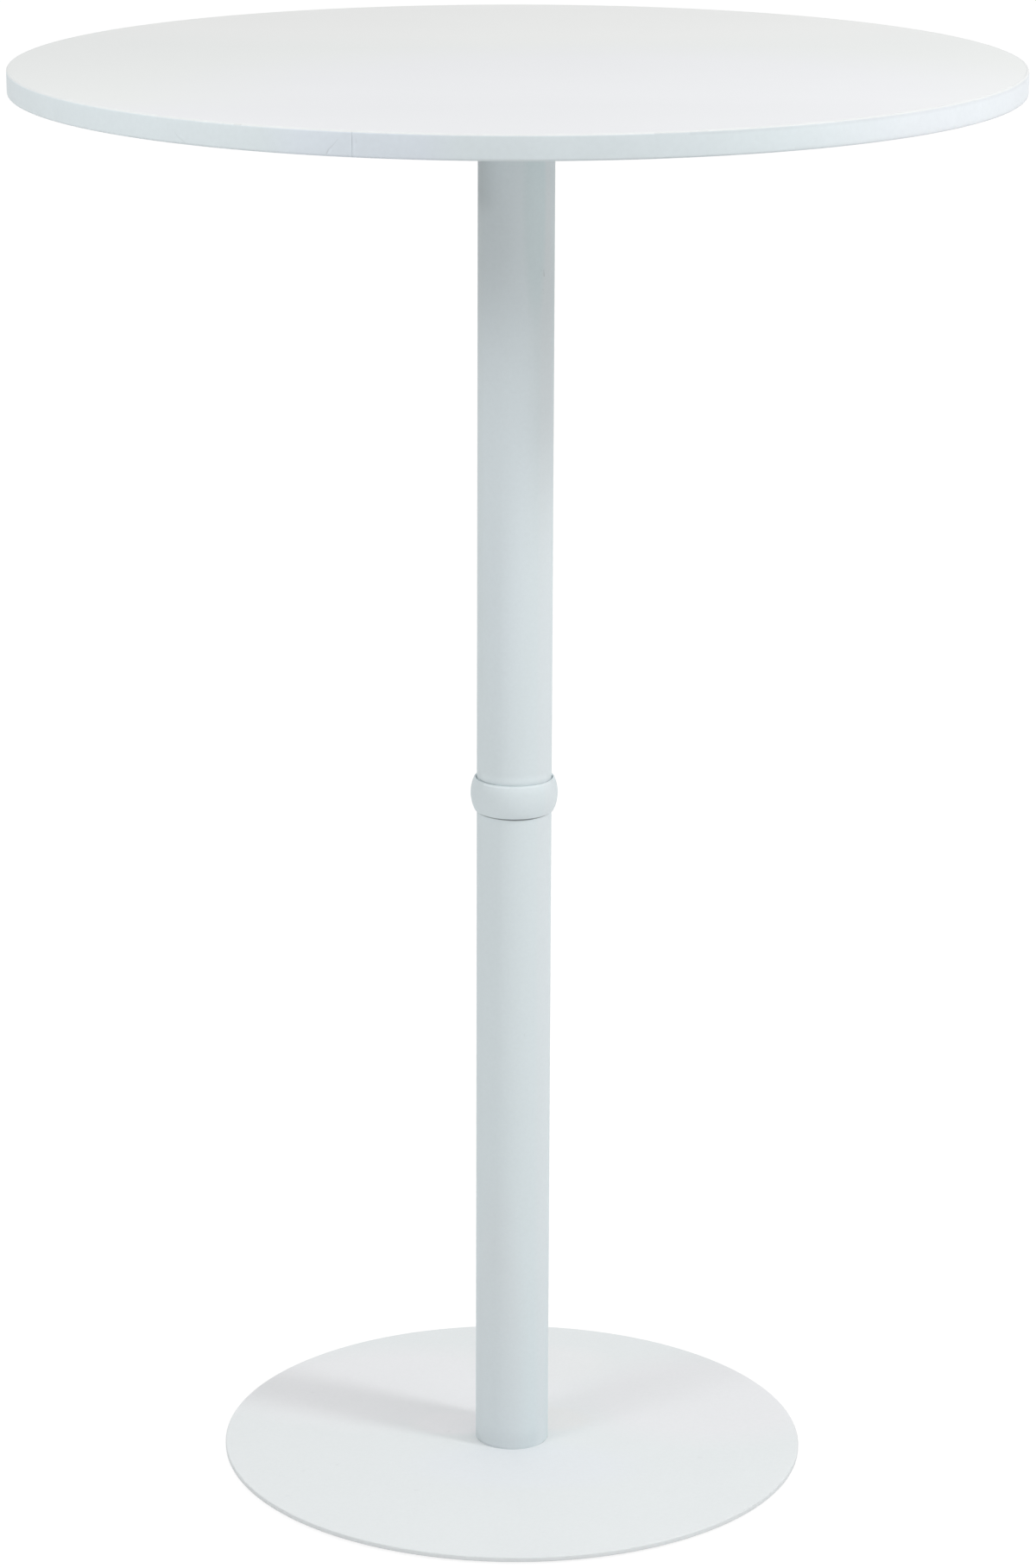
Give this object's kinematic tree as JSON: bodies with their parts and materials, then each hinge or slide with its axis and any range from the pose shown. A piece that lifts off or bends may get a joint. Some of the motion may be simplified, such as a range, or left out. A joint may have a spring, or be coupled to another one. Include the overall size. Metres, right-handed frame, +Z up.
{
  "type": "bar table",
  "caption": "Round bar-height table with a laminated top on a steel column, joined at a barrel collar, and a flat round base plate.",
  "frame": {"origin": "on the floor under the middle of the base plate, on the column's axis", "axes": "+Z up along the column, +X to the right and -Y towards the viewer in the pictured view"},
  "size_m": [0.75, 0.75, 1.1],
  "materials": {
    "laminate": "white laminate, satin",
    "band": "white plastic edge band, satin, lightly marked",
    "board": "raw chipboard",
    "paint": "pale cool grey-white powder coat, satin",
    "steel": "plain machined steel",
    "zinc": "bright zinc plate",
    "rubber": "matt black rubber"
  },
  "bodies": {
    "root": {"floor_pad_1": "rubber", "floor_pad_2": "rubber", "floor_pad_3": "rubber", "floor_pad_4": "rubber", "floor_pad_5": "rubber", "floor_pad_6": "rubber", "base_plate": "paint", "base_screw_1": "zinc", "base_screw_2": "zinc", "base_screw_3": "zinc", "base_screw_4": "zinc", "lower_tube": "paint", "foot_disc": "steel", "lower_join_disc": "steel", "lower_join_nut": "steel", "join_stud": "zinc", "collar": "paint", "upper_join_disc": "steel", "upper_join_nut": "steel", "upper_tube": "paint", "head_disc": "steel", "top_support": "paint", "support_screw_1": "zinc", "support_screw_2": "zinc", "support_screw_3": "zinc", "support_screw_4": "zinc", "tabletop_screw_1": "zinc", "tabletop_screw_2": "zinc", "tabletop_screw_3": "zinc", "tabletop_screw_4": "zinc", "tabletop_screw_5": "zinc", "tabletop_screw_6": "zinc", "tabletop_screw_7": "zinc", "tabletop_screw_8": "zinc", "tabletop_backing": "laminate", "tabletop_core": "board", "tabletop_laminate": "laminate", "tabletop_edge_band": "band"}
  },
  "joints": []
}
